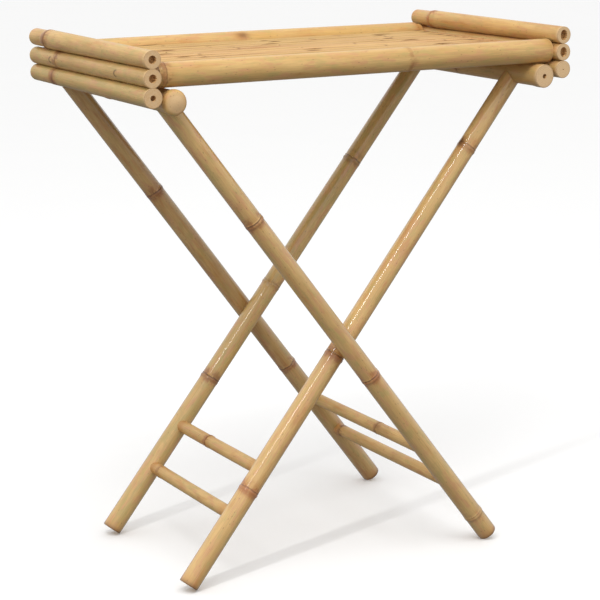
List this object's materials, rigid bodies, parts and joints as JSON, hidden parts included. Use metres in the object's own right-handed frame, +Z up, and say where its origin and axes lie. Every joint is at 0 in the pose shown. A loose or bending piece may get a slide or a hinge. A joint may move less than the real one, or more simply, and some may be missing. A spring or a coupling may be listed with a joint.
{
  "type": "folding side table",
  "caption": "Bamboo tray table: a slatted tray with stacked pole ends lies on a cross-legged stand that folds flat when the tray is lifted off.",
  "frame": {"origin": "on the floor, under the middle of the tray, at the centre of the overall box", "axes": "+X along the tray to the end whose crossbar belongs to the inner frame, +Y across the tray to the back rail, +Z up"},
  "size_m": [0.7035, 0.3962, 0.7887],
  "materials": {
    "end_pole_bamboo": "pale straw bamboo under a satin clear varnish, with brown node rings",
    "rail_bamboo": "golden straw bamboo under a satin clear varnish",
    "slat_bamboo": "flattened split bamboo, pinkish tan with fine dark splits, satin",
    "batten_bamboo": "plain bamboo, matt",
    "crossbar_bamboo": "straw bamboo under a satin clear varnish",
    "leg_bamboo": "golden brown bamboo under a satin clear varnish, with node rings",
    "rung_bamboo": "thin bamboo under a satin clear varnish",
    "dowel_wood": "plain turned dowel",
    "washer_steel": "zinc plated"
  },
  "bodies": {
    "inner_frame": {"back_inner_leg": "leg_bamboo", "back_inner_leg_top_dowel": "dowel_wood", "back_pivot_dowel": "dowel_wood", "back_pivot_washer": "washer_steel", "front_inner_leg": "leg_bamboo", "front_inner_leg_top_dowel": "dowel_wood", "front_pivot_dowel": "dowel_wood", "front_pivot_washer": "washer_steel", "inner_lower_rung": "rung_bamboo", "inner_upper_rung": "rung_bamboo", "right_crossbar": "crossbar_bamboo"},
    "outer_frame": {"back_outer_leg": "leg_bamboo", "back_outer_leg_top_dowel": "dowel_wood", "front_outer_leg": "leg_bamboo", "front_outer_leg_top_dowel": "dowel_wood", "left_crossbar": "crossbar_bamboo", "outer_lower_rung": "rung_bamboo", "outer_upper_rung": "rung_bamboo"},
    "tray": {"back_rail": "rail_bamboo", "back_rail_left_dowel": "dowel_wood", "back_rail_right_dowel": "dowel_wood", "front_rail": "rail_bamboo", "front_rail_left_dowel": "dowel_wood", "front_rail_right_dowel": "dowel_wood", "left_back_stack_peg": "dowel_wood", "left_end_pole_bottom": "end_pole_bamboo", "left_end_pole_middle": "end_pole_bamboo", "left_end_pole_top": "end_pole_bamboo", "left_front_stack_peg": "dowel_wood", "right_back_stack_peg": "dowel_wood", "right_end_pole_bottom": "end_pole_bamboo", "right_end_pole_middle": "end_pole_bamboo", "right_end_pole_top": "end_pole_bamboo", "right_front_stack_peg": "dowel_wood", "tray_batten_1": "batten_bamboo", "tray_batten_2": "batten_bamboo", "tray_batten_3": "batten_bamboo", "tray_slat_01": "slat_bamboo", "tray_slat_02": "slat_bamboo", "tray_slat_03": "slat_bamboo", "tray_slat_04": "slat_bamboo", "tray_slat_05": "slat_bamboo", "tray_slat_06": "slat_bamboo", "tray_slat_07": "slat_bamboo", "tray_slat_08": "slat_bamboo", "tray_slat_09": "slat_bamboo", "tray_slat_10": "slat_bamboo", "tray_slat_11": "slat_bamboo", "tray_slat_12": "slat_bamboo"}
  },
  "joints": [
    {"name": "stand_fold", "type": "hinge", "parent": "inner_frame", "child": "outer_frame", "pos_m": [-0.01226, 0, 0.32814], "axis": [0, 1, 0], "range_deg": [0, 68.5]},
    {"name": "tray_lift", "type": "slide", "parent": "inner_frame", "child": "tray", "axis": [0, 0, 1], "range_m": [0, 0.395]}
  ],
  "couplings": [
    {"joint": "tray_lift", "follows": "stand_fold", "m_per_rad": 0.33}
  ]
}
